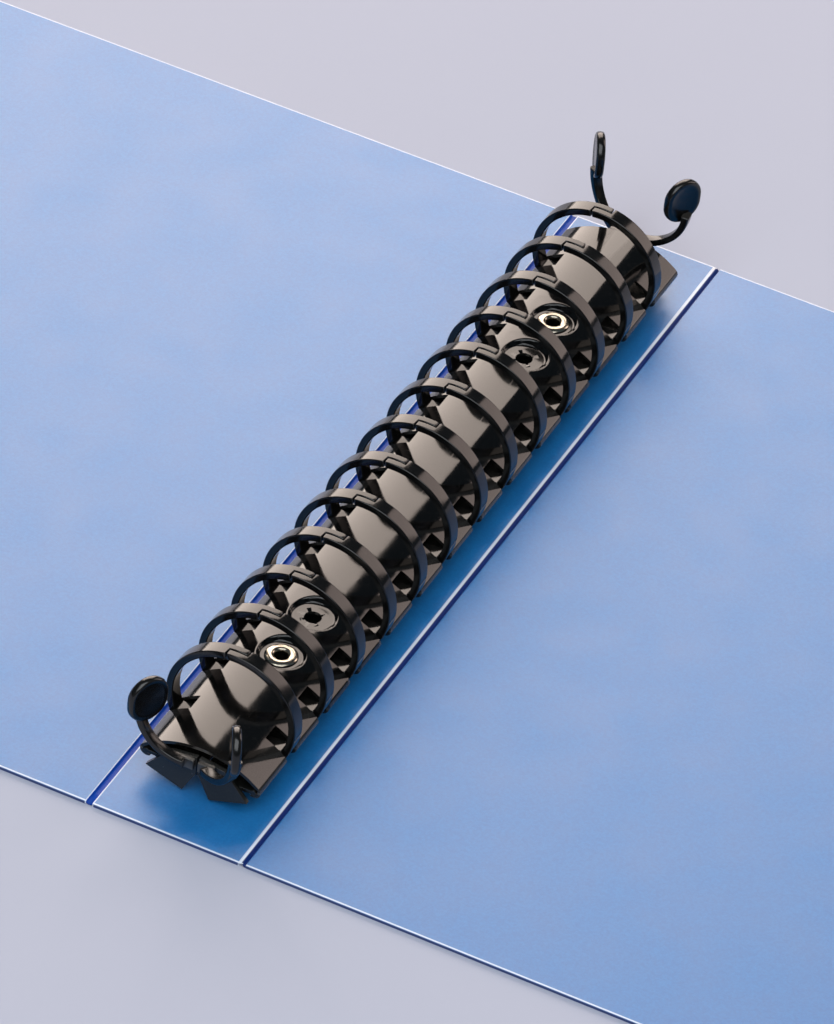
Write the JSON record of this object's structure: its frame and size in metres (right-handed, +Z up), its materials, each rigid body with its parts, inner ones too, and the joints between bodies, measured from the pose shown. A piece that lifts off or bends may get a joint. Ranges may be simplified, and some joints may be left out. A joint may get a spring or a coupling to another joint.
{
  "type": "ring file",
  "caption": "Flat three-panel A4 file, opened out, with a riveted black multi-ring mechanism whose interlocking half rings open by finger tabs at both ends.",
  "frame": {"origin": "centre of the spine panel's underside, with the file lying open and flat", "axes": "+X across the spine towards the right cover, +Y along the spine to its rear end, +Z up out of the open file"},
  "size_m": [0.5228, 0.303, 0.0394],
  "materials": {
    "cover_sheet": "fine satin grain, periwinkle blue",
    "ring_plastic": "polished black",
    "ear_plastic": "polished black",
    "shield_paint": "gloss black",
    "carrier_paint": "gloss black",
    "rivet_plating": "bright nickel plate",
    "spacer_steel": "plain steel tube"
  },
  "bodies": {
    "base": {"front_rivet": "rivet_plating", "front_rivet_spacer": "spacer_steel", "left_hinge_web": "cover_sheet", "rear_rivet": "rivet_plating", "rear_rivet_spacer": "spacer_steel", "right_hinge_web": "cover_sheet", "shield": "shield_paint", "spine_panel": "cover_sheet"},
    "left_cover": {"left_cover": "cover_sheet"},
    "right_cover": {"right_cover": "cover_sheet"},
    "left_half": {"left_carrier": "carrier_paint", "left_front_ear": "ear_plastic", "left_rear_ear": "ear_plastic", "left_ring_half_01": "ring_plastic", "left_ring_half_02": "ring_plastic", "left_ring_half_03": "ring_plastic", "left_ring_half_04": "ring_plastic", "left_ring_half_05": "ring_plastic", "left_ring_half_06": "ring_plastic", "left_ring_half_07": "ring_plastic", "left_ring_half_08": "ring_plastic", "left_ring_half_09": "ring_plastic", "left_ring_half_10": "ring_plastic", "left_ring_half_11": "ring_plastic", "left_ring_half_12": "ring_plastic", "left_ring_half_13": "ring_plastic"},
    "right_half": {"right_carrier": "carrier_paint", "right_front_ear": "ear_plastic", "right_rear_ear": "ear_plastic", "right_ring_half_01": "ring_plastic", "right_ring_half_02": "ring_plastic", "right_ring_half_03": "ring_plastic", "right_ring_half_04": "ring_plastic", "right_ring_half_05": "ring_plastic", "right_ring_half_06": "ring_plastic", "right_ring_half_07": "ring_plastic", "right_ring_half_08": "ring_plastic", "right_ring_half_09": "ring_plastic", "right_ring_half_10": "ring_plastic", "right_ring_half_11": "ring_plastic", "right_ring_half_12": "ring_plastic", "right_ring_half_13": "ring_plastic"}
  },
  "joints": [
    {"name": "left_cover_hinge", "type": "hinge", "parent": "base", "child": "left_cover", "pos_m": [-0.02336, 0, 0.0006], "axis": [0, 1, 0], "range_deg": [0, 90]},
    {"name": "right_cover_hinge", "type": "hinge", "parent": "base", "child": "right_cover", "pos_m": [0.02336, 0, 0.0006], "axis": [0, -1, 0], "range_deg": [0, 90]},
    {"name": "left_half_pivot", "type": "hinge", "parent": "base", "child": "left_half", "pos_m": [-0.01635, 0, 0.0093], "axis": [0, -1, 0], "range_deg": [0, 7.5]},
    {"name": "right_half_pivot", "type": "hinge", "parent": "base", "child": "right_half", "pos_m": [0.01635, 0, 0.0093], "axis": [0, 1, 0], "range_deg": [0, 7.5]}
  ],
  "couplings": [
    {"joint": "right_half_pivot", "follows": "left_half_pivot", "ratio": 1}
  ]
}
